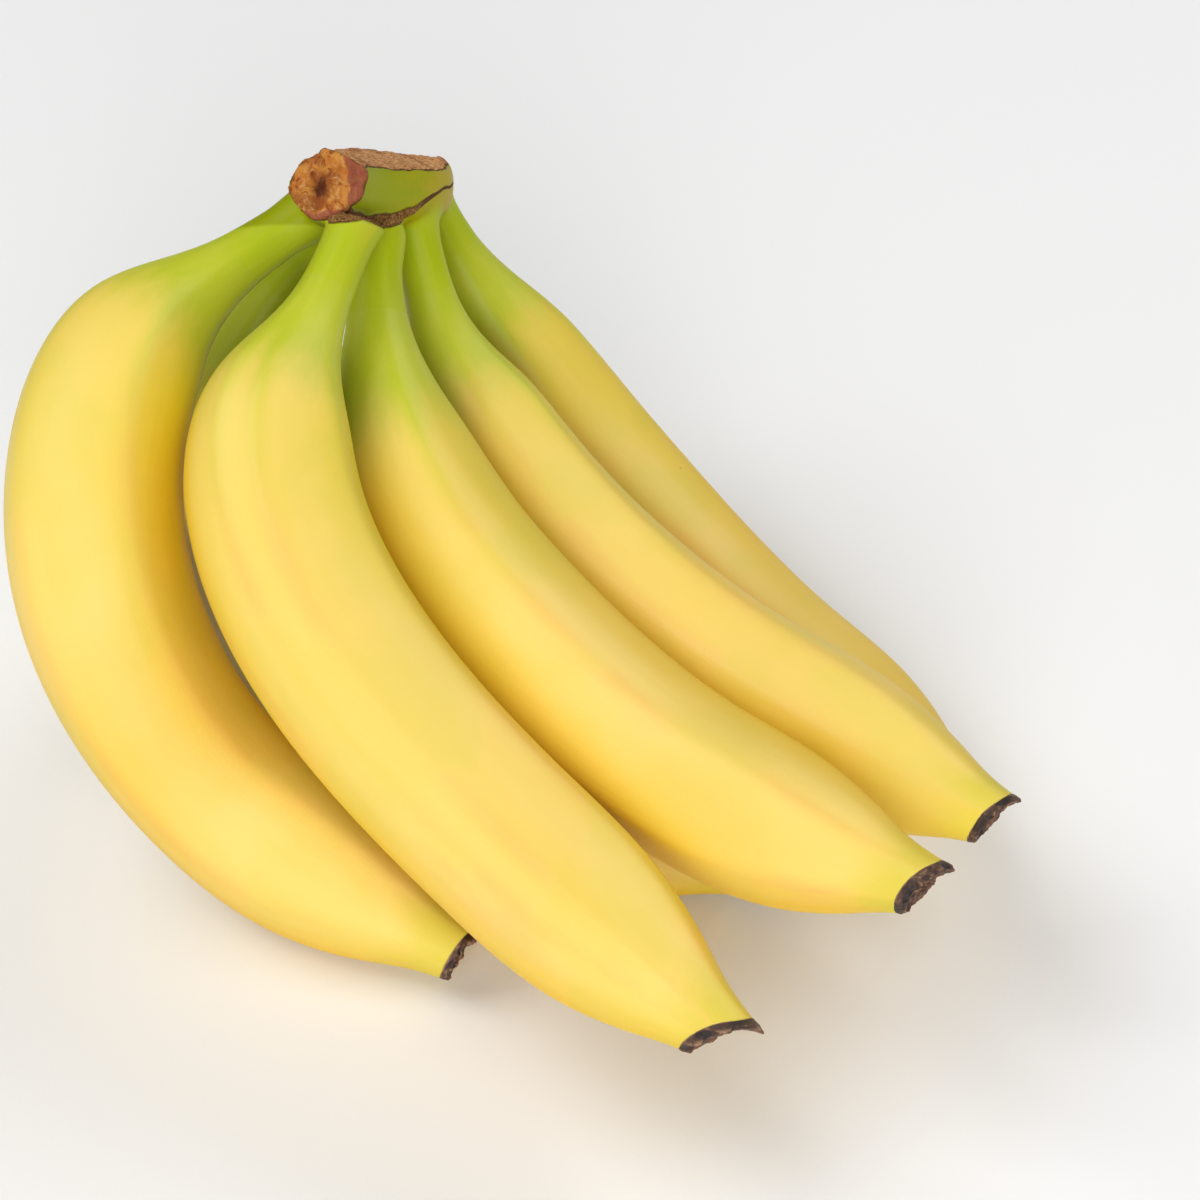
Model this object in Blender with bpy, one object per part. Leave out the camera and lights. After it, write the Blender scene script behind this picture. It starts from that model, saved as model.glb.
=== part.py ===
"""A cluster of six ripe bananas joined at one crown, lying on its lower row.

Metres, +Z up, the floor at z = 0.  Run with: blender --background --python part.py
"""
import math

import bmesh
import bpy
import numpy as np
from mathutils import Vector

MM = 0.001

# --- every finger -----------------------------------------------------------
# Share of a finger's length at which its path points are set.
STATIONS = (0.0, 0.10, 0.22, 0.45, 0.72, 1.0)
# Share of the length and half thickness (mm) of a finger of average girth:
# thin neck, shoulder, full belly, then the taper to the dried flower end.
GIRTH = (
    (0.00, 5.3), (0.06, 5.3), (0.10, 6.1), (0.14, 8.6), (0.20, 14.1), (0.26, 16.8),
    (0.34, 17.9), (0.50, 18.3), (0.70, 17.7), (0.84, 15.8), (0.92, 10.8), (0.96, 7.7), (1.00, 5.8),
)
# Stoutness of the whole finger and of its neck, and path points (mm): root, neck,
# shoulder, belly, lower belly, tip.
FINGERS = (
    # outer row, far left: wraps round the side and lies on its lower belly
    dict(girth=1.01, neck=1.12, path=((-58, 52, 113), (-77, 41, 105), (-93.6, 24.8, 98),
                                      (-100.2, -13, 73), (-76.3, -32.2, 26.2), (-28, -60.5, 10.2))),
    # inner row, nearest the end cut: the uppermost finger
    dict(girth=1.02, neck=1.00, path=((-48, 42, 120), (-56, 23, 110), (-64, 3, 99),
                                      (-53.4, -32, 74), (-16, -69, 50), (24, -111, 43))),
    # inner row, second
    dict(girth=0.98, neck=1.20, path=((-46, 50, 107), (-45.5, 33, 95), (-41, 13.5, 79.5),
                                      (-18, -17, 59), (19, -51, 49), (61.5, -85.5, 56.5))),
    # inner row, third
    dict(girth=0.98, neck=1.00, path=((-40, 63, 105), (-35, 51, 88), (-27, 39.5, 69),
                                      (0, 13, 46), (37, -21, 41), (78, -59, 47))),
    # inner row, last: lies on its belly at the back
    dict(girth=0.98, neck=1.12, path=((-38, 75, 102), (-31, 74, 84.5), (-21, 70, 63),
                                      (6, 52, 31), (40, 15, 17.2), (75, -29, 24))),
    # outer row, inside the cluster: lies on its belly under the inner row
    dict(girth=0.99, neck=1.00, path=((-54, 59, 102), (-69, 54, 87), (-78, 47, 62),
                                      (-67, 24, 22.7), (-25, -18, 18.2), (33, -36, 9))),
)
NECK_AT = 0.11              # a stouter neck swells most at this share of the length
NECK_SPREAD = 0.06          # and over about this much of it
EDGE_COUNT = 5              # soft lengthwise edges round the fruit
EDGE_DEPTH = 0.035          # how far the faces sink between the edges, share of radius
EDGE_FADE = 0.12            # share of the length over which they rise and fade
PATH_STEPS = 200            # steps in which a finger's path is worked out
PEEL_START = 0.04           # the finger leaves the crown's stub here
PEEL_END = 0.985            # the peel stops here and the dried flower end begins
PEEL_RINGS = 30
RING_STEPS = (0.0, 0.3, 0.7, 1.0)   # rings stand closer at the shoulder and the tip:
RING_SHARES = (0.25, 0.76)          # these shares of the length at the middle two steps
AROUND = 20
GAP = 0.33 * MM             # between pieces that touch
# Middle of the cluster's footprint among the path points (mm): it becomes the origin.
MIDDLE = (-18.83, -15.03, -0.04)

# --- dried flower end -------------------------------------------------------
FLOWER_SWELL = 1.00         # ragged rim against the peel it grows from
FLOWER_END = 0.86           # its blunt far end against the same
FLOWER_RINGS = 4

# --- crown ------------------------------------------------------------------
# Spine of the pad from its cut end to its far end (mm), with half width and half height.
CROWN_SPINE = ((-54, 41, 126), (-51, 50, 119), (-46, 60, 111), (-41, 68, 105), (-38, 75, 101))
CROWN_HALF_WIDTH = (7.6, 9.6, 10.6, 9.4, 6.4)
CROWN_HALF_HEIGHT = (7.2, 8.0, 7.8, 6.6, 5.0)
CROWN_TOP = (-0.10, 0.45, 0.89)     # the way the stalk cut faces
CROWN_RINGS = 9
CROWN_AROUND = 24
CROWN_SQUARENESS = 3.0
STUB_DEPTH = 3 * MM                 # each neck's root runs this far into the pad
STUB_ROOT_GIRTH = 1.15
STUB_RINGS = 6
WELD = 0.02 * MM                    # corners closer than this after joining become one

# --- colours (linear) -------------------------------------------------------
PEEL_COLOUR = (0.83, 0.60, 0.07, 1.0)
CROWN_COLOUR = (0.33, 0.34, 0.06, 1.0)
FLOWER_COLOUR = (0.10, 0.055, 0.025, 1.0)


def spline(stations, values, where):
    """Natural cubic spline through values, read at the places in where."""
    x = np.array(stations, float)
    y = np.array(values, float).reshape(len(x), -1)
    h = np.diff(x)
    matrix = np.eye(len(x))
    right = np.zeros_like(y)
    for i in range(1, len(x) - 1):
        matrix[i, i - 1:i + 2] = h[i - 1], 2 * (h[i - 1] + h[i]), h[i]
        right[i] = 6 * ((y[i + 1] - y[i]) / h[i] - (y[i] - y[i - 1]) / h[i - 1])
    bend = np.linalg.solve(matrix, right)
    t = np.array(where, float)
    k = np.clip(np.searchsorted(x, t, side="right") - 1, 0, len(h) - 1)
    a = ((x[k + 1] - t) / h[k])[:, None]
    b = 1 - a
    curve = (a ** 3 - a) * bend[k] + (b ** 3 - b) * bend[k + 1]
    return a * y[k] + b * y[k + 1] + curve * (h[k] ** 2)[:, None] / 6


def unit(v):
    return v / np.linalg.norm(v)


def frames(points, side):
    """Tangent, side and face directions along a path, turned as little as possible."""
    tangents = np.gradient(points, axis=0)
    result = []
    for tangent in tangents:
        tangent = unit(tangent)
        side = unit(side - tangent * np.dot(side, tangent))
        result.append((tangent, side, np.cross(tangent, side)))
    return result


def loft(name, rings):
    """A closed body from a list of rings, each a list of points, capped at both ends."""
    mesh = bmesh.new()
    rows = [[mesh.verts.new(Vector(p)) for p in ring] for ring in rings]
    count = len(rows[0])
    for lower, upper in zip(rows, rows[1:]):
        for i in range(count):
            j = (i + 1) % count
            mesh.faces.new((lower[i], lower[j], upper[j], upper[i]))
    mesh.faces.new(list(reversed(rows[0])))
    mesh.faces.new(rows[-1])
    bmesh.ops.recalc_face_normals(mesh, faces=mesh.faces)
    for face in mesh.faces:
        face.smooth = len(face.verts) == 4
    data = bpy.data.meshes.new(name)
    mesh.to_mesh(data)
    mesh.free()
    body = bpy.data.objects.new(name, data)
    bpy.context.scene.collection.objects.link(body)
    return body


def paint(body, colour, roughness):
    material = bpy.data.materials.new(body.name)
    material.use_nodes = True
    shader = material.node_tree.nodes["Principled BSDF"]
    shader.inputs["Base Color"].default_value = colour
    shader.inputs["Roughness"].default_value = roughness
    shader.inputs["Metallic"].default_value = 0.0
    material.diffuse_color = colour
    body.data.materials.clear()
    body.data.materials.append(material)


def finger_rings(finger, where, scale, edges):
    """Rings of one finger at the given shares of its length."""
    fine = np.linspace(0, 1, PATH_STEPS + 1)
    line = (spline(STATIONS, finger["path"], fine) - MIDDLE) * MM
    middle = line[PATH_STEPS // 2]
    bend_normal = np.cross(middle - line[0], line[-1] - middle)
    every = frames(line, unit(bend_normal))
    radii = spline([g[0] for g in GIRTH], [g[1] for g in GIRTH], where)
    rings = []
    for share, radius, factor in zip(where, radii[:, 0], scale):
        at = min(int(share * PATH_STEPS), PATH_STEPS - 1)
        part = share * PATH_STEPS - at
        centre = line[at] * (1 - part) + line[at + 1] * part
        tangent, side, face = every[at]
        # the edges fade out on the round neck and at the tip
        full = min(1.0, max(0.0, (share - STATIONS[1]) / EDGE_FADE))
        full *= min(1.0, (1.0 - share) / EDGE_FADE)
        swell = 1 + (finger["neck"] - 1) * math.exp(-((share - NECK_AT) / NECK_SPREAD) ** 2)
        ring = []
        for i in range(AROUND):
            angle = 2 * math.pi * i / AROUND
            sink = edges * EDGE_DEPTH * full * (1 - math.cos(EDGE_COUNT * angle)) / 2
            reach = radius * MM * finger["girth"] * swell * factor * (1 - sink)
            ring.append(centre + reach * (math.cos(angle) * side + math.sin(angle) * face))
        rings.append(ring)
    return rings


def make_banana(number, finger):
    steps = np.linspace(0, 1, PEEL_RINGS)
    where = spline(RING_STEPS, (PEEL_START, *RING_SHARES, PEEL_END), steps)[:, 0]
    body = loft(f"banana_{number}", finger_rings(finger, where, np.ones(PEEL_RINGS), 1.0))
    paint(body, PEEL_COLOUR, 0.42)


def gap_share(finger):
    """The gap as a share of the finger's length."""
    length = sum(math.dist(a, b) for a, b in zip(finger["path"], finger["path"][1:])) * MM
    return GAP / length


def make_flower_end(number, finger):
    where = np.linspace(PEEL_END + gap_share(finger), 1.0, FLOWER_RINGS)
    scale = np.linspace(FLOWER_SWELL, FLOWER_END, FLOWER_RINGS)
    body = loft(f"blossom_tip_{number}", finger_rings(finger, where, scale, 0.0))
    paint(body, FLOWER_COLOUR, 0.9)


def make_crown():
    steps = np.linspace(0, 1, CROWN_RINGS)
    stations = np.linspace(0, 1, len(CROWN_SPINE))
    spine = (spline(stations, CROWN_SPINE, steps) - MIDDLE) * MM
    widths = spline(stations, CROWN_HALF_WIDTH, steps)[:, 0] * MM
    heights = spline(stations, CROWN_HALF_HEIGHT, steps)[:, 0] * MM
    rings = []
    top = unit(np.array(CROWN_TOP))
    for centre, half_width, half_height, (tangent, up, across) in zip(
            spine, widths, heights, frames(spine, top)):
        ring = []
        for i in range(CROWN_AROUND):
            angle = 2 * math.pi * (i + 0.5) / CROWN_AROUND
            c, s = math.cos(angle), math.sin(angle)
            power = 2 / CROWN_SQUARENESS
            wide = math.copysign(abs(c) ** power, c) * half_width
            high = math.copysign(abs(s) ** power, s) * half_height
            ring.append(centre + wide * across + high * up)
        rings.append(ring)
    crown = loft("crown", rings)
    for number, finger in enumerate(FINGERS, 1):
        path = np.array(finger["path"], float) * MM
        inward = unit(path[0] - path[1])
        where = np.linspace(0.0, PEEL_START - gap_share(finger), STUB_RINGS)
        rings = finger_rings(finger, where, np.linspace(STUB_ROOT_GIRTH, 1.0, STUB_RINGS), 0.0)
        root = [point + inward * STUB_DEPTH for point in rings[0]]
        stub = loft(f"stub_{number}", [root] + rings)
        join = crown.modifiers.new("join", "BOOLEAN")
        join.operation = "UNION"
        join.solver = "EXACT"
        join.object = stub
        bpy.context.view_layer.update()
        joined = bpy.data.meshes.new_from_object(
            crown.evaluated_get(bpy.context.evaluated_depsgraph_get()))
        crown.modifiers.clear()
        crown.data = joined
        bpy.data.objects.remove(stub)
    mesh = bmesh.new()
    mesh.from_mesh(crown.data)
    bmesh.ops.remove_doubles(mesh, verts=mesh.verts, dist=WELD)
    bmesh.ops.dissolve_degenerate(mesh, edges=mesh.edges, dist=WELD)
    mesh.to_mesh(crown.data)
    mesh.free()
    crown.data.name = "crown"
    paint(crown, CROWN_COLOUR, 0.5)


for old in list(bpy.data.objects):
    bpy.data.objects.remove(old)

make_crown()
for number, finger in enumerate(FINGERS, 1):
    make_banana(number, finger)
    make_flower_end(number, finger)
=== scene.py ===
"""A cluster of six ripe bananas on one crown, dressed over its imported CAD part.

Metres, +Z up, the floor at z = 0.  The cluster lies on its outer row of fingers.
"""
import math

import bpy
import numpy as np
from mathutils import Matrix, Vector, noise


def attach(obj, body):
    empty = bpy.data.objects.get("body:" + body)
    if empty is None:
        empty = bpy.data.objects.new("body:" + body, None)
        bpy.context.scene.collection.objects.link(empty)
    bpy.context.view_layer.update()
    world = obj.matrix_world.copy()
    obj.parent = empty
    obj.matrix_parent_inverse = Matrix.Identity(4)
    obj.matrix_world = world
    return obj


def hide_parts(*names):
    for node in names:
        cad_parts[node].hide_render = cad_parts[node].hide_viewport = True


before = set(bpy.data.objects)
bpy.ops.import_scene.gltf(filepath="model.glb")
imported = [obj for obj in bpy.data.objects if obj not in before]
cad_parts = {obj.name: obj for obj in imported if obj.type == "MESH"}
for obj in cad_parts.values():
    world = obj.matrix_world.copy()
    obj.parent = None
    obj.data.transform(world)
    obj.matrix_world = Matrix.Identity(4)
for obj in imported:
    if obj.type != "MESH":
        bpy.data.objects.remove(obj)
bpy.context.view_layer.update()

# --- Peels of the six fingers ------------------------------------------------
# Each finger is one ripe fruit in its own peel: a slim green neck, a full curved
# belly with soft lengthwise ridges, and a taper to the dried blossom end.
# The peel is grown in one piece, satin and faintly waxy, fibrous along its length.
MM = 0.001
MIDDLE = np.array((-18.83, -15.03, -0.04))     # middle of the footprint among the path points
STATIONS = (0.0, 0.10, 0.22, 0.45, 0.72, 1.0)     # shares of the length at the path points
GIRTH = (       # share of the length, radius (mm)
    (0.00, 5.3), (0.06, 5.3), (0.10, 6.1), (0.14, 8.6), (0.20, 14.1), (0.26, 16.8),
    (0.34, 17.9), (0.50, 18.3), (0.70, 17.7), (0.84, 15.8), (0.92, 10.8), (0.96, 7.7), (1.00, 5.8),
)
# girth and neck: how much stouter than GIRTH the finger and its neck are.  twist: turn of the
# ridges from end to end (degrees).  path: root, neck, shoulder, belly, lower belly, tip (mm).
# ridges: where they stand at mid length (degrees) and how far the face after each one sinks.
FINGERS = (
    dict(girth=1.01, neck=1.12, twist=-45,
         path=((-58, 52, 113), (-77, 41, 105), (-93.6, 24.8, 98),
               (-100.2, -13, 73), (-76.3, -32.2, 26.2), (-28, -60.5, 10.2)),
         ridges=((59, 0.066), (130, 0.066), (205, 0.066), (284, 0.054), (342, 0.066))),
    dict(girth=1.02, neck=1.00, twist=0,
         path=((-48, 42, 120), (-56, 23, 110), (-64, 3, 99),
               (-53.4, -32, 74), (-16, -69, 50), (24, -111, 43)),
         ridges=((20, 0.066), (88, 0.066), (158, 0.060), (223, 0.060), (290, 0.066), (353, 0.032))),
    dict(girth=0.98, neck=1.20, twist=15,
         path=((-46, 50, 107), (-45.5, 33, 95), (-41, 13.5, 79.5),
               (-18, -17, 59), (19, -51, 49), (61.5, -85.5, 56.5)),
         ridges=((20, 0.066), (92, 0.066), (165, 0.066), (240, 0.066), (310, 0.072))),
    dict(girth=0.98, neck=1.00, twist=30,
         path=((-40, 63, 105), (-35, 51, 88), (-27, 39.5, 69),
               (0, 13, 46), (37, -21, 41), (78, -59, 47)),
         ridges=((16, 0.066), (90, 0.066), (172, 0.066), (256, 0.047), (306, 0.072))),
    dict(girth=0.98, neck=1.12, twist=-30,
         path=((-38, 75, 102), (-31, 74, 84.5), (-21, 70, 63),
               (6, 52, 31), (40, 15, 17.2), (75, -29, 24)),
         ridges=((54, 0.066), (126, 0.066), (200, 0.066), (272, 0.060), (340, 0.066))),
    dict(girth=0.99, neck=1.00, twist=0,
         path=((-54, 59, 102), (-69, 54, 87), (-78, 47, 62),
               (-67, 24, 22.7), (-25, -18, 18.2), (33, -36, 9)),
         ridges=((0, 0.060), (72, 0.066), (144, 0.066), (216, 0.066), (288, 0.066))),
)
NECK_AT = 0.11              # a stouter neck swells most at this share of the length
NECK_SPREAD = 0.06          # and over about this much of it
RIDGE_ROUND = 0.16          # how rounded the ridges are
RIDGE_ON_NECK = 0.45        # how much of a ridge is left on the neck and at the tip
RIDGE_STARTS = (0.0, 0.05)      # a ridge comes up between these shares of the length,
RIDGE_GROWS = (0.10, 0.22)      # grows to its full depth between these
RIDGE_FADES = (0.86, 0.98)      # and fades again between these
RIDGE_WIDE = 7.0            # half width of a ridge's crest (degrees)
LINE_STEPS = 400            # steps in which a finger's middle line is worked out
PEEL_START = 0.070          # the peel begins just inside the neck of the crown
NECK_HANDOVER = (0.078, 0.094)      # where the crown's neck dips under the peel
PEEL_HANDOVER = (PEEL_START, NECK_HANDOVER[0] + 0.008)      # where the peel rises over it
HANDOVER_DIP = 0.12 * MM
PEEL_END = 0.990            # and stops about here, slantwise, as ENDS says
END_SLANT_FROM = 0.88
PEEL_HOLLOW = 4 * MM        # the peel's end is closed this far inside its rim, under the cap
PEEL_RINGS = 250
PEEL_AROUND = 120
# the rings lie closer at both ends: share of the rings, share of the length
PEEL_SPACING = ((0.0, 0.3, 0.7, 1.0), (PEEL_START, 0.26, 0.76, PEEL_END))
# how a finger ends: how far past its last path point (mm), how far its left side stands past
# its right, how much sooner the peel stops above and the dried end below, which side is up (degrees)
ENDS = (
    dict(past=1.5, lean=0.4, above=0.0, below=3.0, up=357),
    dict(past=0.0, lean=3.9, above=1.0, below=4.8, up=0),
    dict(past=0.8, lean=2.8, above=1.3, below=4.4, up=347),
    dict(past=0.4, lean=2.0, above=0.3, below=4.8, up=318),
    dict(past=0.3, lean=1.5, above=1.0, below=2.4, up=295),
    dict(past=0.0, lean=1.0, above=1.0, below=2.0, up=346),
)
END_COLLAR = 1.3            # the dried end shows at least this much beyond the peel (mm)
# unevenness of growth: height (mm), size across (mm), share of that size that counts lengthwise
UNEVEN = ((0.16, 14, 0.4), (0.04, 2.6, 0.2))
UNEVEN_FROM = (0.10, 0.24)      # it sets in between these shares of the length
UNEVEN_UNTIL = (0.90, 0.97)     # and dies away between these
GRAIN_APART = 0.4               # each finger reads the patterns this much further on (m)
SHELTER_REACH = 12 * MM         # neighbours nearer than this keep the light off the peel, and painted shade darkens it there
SHELTER_SHARES = (0.08, 0.97, 42)       # places along a neighbour that are tried
SUN_SIDE = (-0.25, -0.45, 0.85)     # the side from which light falls, where the peel is painted palest as painted light
SUN_SPREAD = (-0.2, 0.9)
INNER_FINGER = 6                # the finger inside the cluster, with painted shade in deeper green on its neck
INNER_SHADE = 0.9
INNER_SHADE_ENDS = (0.26, 0.18)
INNER_SHADE_LIT = (0.2, 0.5)
# it also has soft brown painted shade where it shows in the gap between its neighbours: share of length,
# degrees
GAP_SHADE_PATH = ((0.28, 13.0), (0.36, 15.4), (0.42, 19.2), (0.46, 23.2), (0.50, 29.5), (0.53, 34.0))
GAP_SHADE_HALF = (17.0, 2.0)       # it fades out between these distances from its middle (degrees)
GAP_SHADE_FROM = (0.24, 0.34)      # and between these shares of the length
GAP_SHADE_UNTIL = (0.60, 0.50)


def spline(stations, values, where):
    """Natural cubic spline through values, read at the places in where."""
    x = np.array(stations, float)
    y = np.array(values, float).reshape(len(x), -1)
    h = np.diff(x)
    matrix = np.eye(len(x))
    right = np.zeros_like(y)
    for i in range(1, len(x) - 1):
        matrix[i, i - 1:i + 2] = h[i - 1], 2 * (h[i - 1] + h[i]), h[i]
        right[i] = 6 * ((y[i + 1] - y[i]) / h[i] - (y[i] - y[i - 1]) / h[i - 1])
    bend = np.linalg.solve(matrix, right)
    t = np.array(where, float)
    k = np.clip(np.searchsorted(x, t, side="right") - 1, 0, len(h) - 1)
    a = ((x[k + 1] - t) / h[k])[:, None]
    b = 1 - a
    curve = (a ** 3 - a) * bend[k] + (b ** 3 - b) * bend[k + 1]
    return a * y[k] + b * y[k + 1] + curve * (h[k] ** 2)[:, None] / 6


def unit(v):
    """The direction of a vector, as a vector one long."""
    return v / np.linalg.norm(v)


def carried_frames(points, side):
    """Tangent, side and face directions along a line, turned as little as possible."""
    rows = []
    for tangent in np.gradient(points, axis=0):
        tangent = unit(tangent)
        side = unit(side - tangent * np.dot(side, tangent))
        rows.append((tangent, side, np.cross(tangent, side)))
    return np.array(rows)


def smooth_step(low, high, x):
    """Rises softly from 0 at low to 1 at high; where high is the smaller, it falls instead."""
    t = np.clip((np.asarray(x, float) - low) / (high - low), 0, 1)
    return t * t * (3 - 2 * t)


def middle_line(finger):
    """A finger's middle line with its directions and the length run so far."""
    share = np.linspace(0, 1, LINE_STEPS + 1)
    centre = (spline(STATIONS, finger["path"], share) - MIDDLE) * MM
    half = centre[LINE_STEPS // 2]
    frames = carried_frames(centre, unit(np.cross(half - centre[0], centre[-1] - half)))
    run = np.concatenate(([0], np.cumsum(np.linalg.norm(np.diff(centre, axis=0), axis=1))))
    return dict(share=share, centre=centre, frames=frames, run=run)


def read_line(line, share):
    """Centre, tangent, side, face and run of a middle line at the shares given, or just past 1."""
    place = np.maximum(share, 0) * LINE_STEPS
    k = np.minimum(place.astype(int), LINE_STEPS - 1)
    part = place - k
    centre = line["centre"][k] + (line["centre"][k + 1] - line["centre"][k]) * part[:, None]
    turned = line["frames"][k] + (line["frames"][k + 1] - line["frames"][k]) * part[:, None, None]
    run = line["run"][k] + (line["run"][k + 1] - line["run"][k]) * part
    return centre, turned[:, 0], turned[:, 1], turned[:, 2], run


def ridged(finger, share, angle):
    """How far the faces sink at an angle, as a share of the radius, and nearness to a ridge."""
    turn = np.degrees(angle) - finger["twist"] * (share - 0.5)
    at = np.array([ridge[0] for ridge in finger["ridges"]], float)
    depth = np.array([ridge[1] for ridge in finger["ridges"]], float)
    order = np.argsort(at)
    at, depth = at[order], depth[order]
    turn = (turn - at[0]) % 360 + at[0]
    k = np.searchsorted(at, turn, side="right") - 1
    ends = np.append(at[1:], at[0] + 360)
    t = (turn - at[k]) / (ends[k] - at[k])
    wave = np.sqrt(np.sin(math.pi * t) ** 2 + RIDGE_ROUND ** 2) - RIDGE_ROUND
    wave /= math.sqrt(1 + RIDGE_ROUND ** 2) - RIDGE_ROUND
    crest = np.minimum(turn - at[k], ends[k] - turn)
    full = RIDGE_ON_NECK + (1 - RIDGE_ON_NECK) * smooth_step(*RIDGE_GROWS, share)
    full = full * (1 - (1 - RIDGE_ON_NECK) * smooth_step(*RIDGE_FADES, share))
    full = full * smooth_step(*RIDGE_STARTS, share)
    return depth[k] * wave * full, np.exp(-(crest / RIDGE_WIDE) ** 2) * full


def reach(finger, share, angle):
    """Distance of the peel's surface from the middle line, and nearness to a ridge."""
    radius = spline([g[0] for g in GIRTH], [g[1] for g in GIRTH], share)[:, 0]
    radius *= 1 + (finger["neck"] - 1) * np.exp(-((share - NECK_AT) / NECK_SPREAD) ** 2)
    sink, ridge = ridged(finger, share, angle)
    return radius * MM * finger["girth"] * (1 - sink), ridge


def end_levels(end, angle):
    """Where the peel and the dried end stop round the tip, past the last path point (mm)."""
    turn = angle - math.radians(end["up"])
    above = (1 + np.cos(turn)) / 2
    last = end["past"] - end["lean"] * np.sin(turn) - end["below"] * (1 - above) ** 1.5
    return last - END_COLLAR - end["above"] * above ** 2, last


def grid_mesh(name, rings, start, end):
    """A closed mesh from rings of points, with one point to close each end."""
    count, around = rings.shape[:2]
    verts = np.vstack((rings.reshape(-1, 3), start, end))
    faces = []
    for i in range(count - 1):
        for j in range(around):
            k = (j + 1) % around
            faces.append((i * around + j, i * around + k, (i + 1) * around + k, (i + 1) * around + j))
    first, last = count * around, count * around + 1
    for j in range(around):
        k = (j + 1) % around
        faces.append((k, j, first))
        faces.append(((count - 1) * around + j, (count - 1) * around + k, last))
    mesh = bpy.data.meshes.new(name)
    mesh.from_pydata(verts, [], faces)
    mesh.update()
    mesh.shade_smooth()
    piece = bpy.data.objects.new(name, mesh)
    bpy.context.scene.collection.objects.link(piece)
    return piece


def write_attribute(piece, name, values):
    """Stores one number or one vector for each vertex, for the material to read."""
    values = np.asarray(values, np.float32)
    kind = "FLOAT" if values.ndim == 1 else "FLOAT_VECTOR"
    made = piece.data.attributes.new(name, kind, "POINT")
    made.data.foreach_set("value" if values.ndim == 1 else "vector", values.ravel())


def grown(points, size):
    """Soft uneven growth: noise from -1 to 1 with bumps of about this size."""
    return np.array([noise.noise(Vector(p) / size) for p in points])


def shelter(points, number):
    """How closely the nearest neighbour stands: 1 where it presses, 0 where it is far away."""
    nearest = np.full(len(points), 1.0)
    share = np.linspace(*SHELTER_SHARES)
    for other, (finger, line) in enumerate(zip(FINGERS, lines), 1):
        if other == number:
            continue
        centre = read_line(line, share)[0]
        radius = reach(finger, share, np.zeros_like(share))[0]
        for c, r in zip(centre, radius):
            nearest = np.minimum(nearest, np.linalg.norm(points - c, axis=1) - r)
    return 1 - smooth_step(0, SHELTER_REACH, nearest)


def sunlit(outward):
    """How far a surface faces the side from which light falls, from 0 to 1, for painted light and shade.
    """
    return smooth_step(*SUN_SPREAD, outward @ unit(np.array(SUN_SIDE)))


lines = [middle_line(finger) for finger in FINGERS]
ring_shares = spline(*PEEL_SPACING, np.linspace(0, 1, PEEL_RINGS))[:, 0]
ring_angles = np.linspace(0, 2 * math.pi, PEEL_AROUND, endpoint=False)
peels = []
for number, (finger, line, end) in enumerate(zip(FINGERS, lines, ENDS), 1):
    share = np.repeat(ring_shares, PEEL_AROUND)
    angle = np.tile(ring_angles, PEEL_RINGS)
    stop = 1 + end_levels(end, angle)[0] * MM / line["run"][-1]
    share = share + (stop - PEEL_END) * smooth_step(END_SLANT_FROM, PEEL_END, share)
    centre, tangent, side, face, run = read_line(line, share)
    radius, ridge = reach(finger, share, angle)
    out = np.cos(angle)[:, None] * side + np.sin(angle)[:, None] * face
    radius = radius - HANDOVER_DIP * (1 - smooth_step(*PEEL_HANDOVER, share))
    run = run + GRAIN_APART * number
    grain = np.stack((radius * np.cos(angle), radius * np.sin(angle), run), 1)
    life = smooth_step(*UNEVEN_FROM, share) * (1 - smooth_step(*UNEVEN_UNTIL, share))
    for height, size, lengthways in UNEVEN:
        radius = radius + life * height * MM * grown(grain * (1, 1, lengthways), size * MM)
    points = centre + radius[:, None] * out
    rings = points.reshape(PEEL_RINGS, PEEL_AROUND, 3)
    inside = rings[-1].mean(0) - PEEL_HOLLOW * tangent[-1]
    peel = grid_mesh(f"peel_{number}", rings, rings[0].mean(0), inside)
    # painted shade where neighbours stand close, and how far the peel faces the light, for painted light
    close = shelter(points, number)
    sunny = sunlit(out)
    gap_shade = np.zeros(len(points))
    # the inner finger gets painted shade: a brown band where it shows in the gap between its neighbours,
    # and deeper green on its neck
    if number == INNER_FINGER:
        off = np.abs(np.degrees(angle) - np.interp(share, *np.array(GAP_SHADE_PATH).T))
        gap_shade = smooth_step(*GAP_SHADE_HALF, off)
        gap_shade = gap_shade * smooth_step(*GAP_SHADE_FROM, share) * smooth_step(*GAP_SHADE_UNTIL, share)
        green = INNER_SHADE * smooth_step(*INNER_SHADE_ENDS, share) * smooth_step(*INNER_SHADE_LIT, sunny)
        close = np.maximum(close, green)
    # each list of values ends with those of the two closing points
    write_attribute(peel, "along", np.append(share, (PEEL_START, PEEL_END)))
    write_attribute(peel, "ridge", np.append(ridge, (0, 0)))
    write_attribute(peel, "grain", np.vstack((grain, (0, 0, run[0]), (0, 0, run[-1]))))
    write_attribute(peel, "close", np.append(close, (1, 0)))
    write_attribute(peel, "gap_shade", np.append(gap_shade, (0, 0)))
    write_attribute(peel, "sunny", np.append(sunny, (1, 1)))
    peels.append(peel)


def add_node(tree, kind, settings=(), **inputs):
    """One shader node with its plain settings and inputs; an input may be another node's output."""
    node = tree.nodes.new(kind)
    for key, value in dict(settings).items():
        setattr(node, key, value)
    for key, value in inputs.items():
        socket = node.inputs[int(key[1:])] if key[0] == "i" and key[1:].isdigit() else node.inputs[key]
        if isinstance(value, bpy.types.NodeSocket):
            tree.links.new(value, socket)
        else:
            socket.default_value = value
    return node


def maths(tree, operation, a, b=0.5, c=0.5):
    return add_node(tree, "ShaderNodeMath", dict(operation=operation), i0=a, i1=b, i2=c).outputs[0]


def times(tree, a, b):
    return maths(tree, "MULTIPLY", a, b)


def wavering(tree, noise_value, spread):
    """A noise turned into a shift of up to half of spread either way."""
    return maths(tree, "MULTIPLY_ADD", noise_value, spread, -spread / 2)


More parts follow.
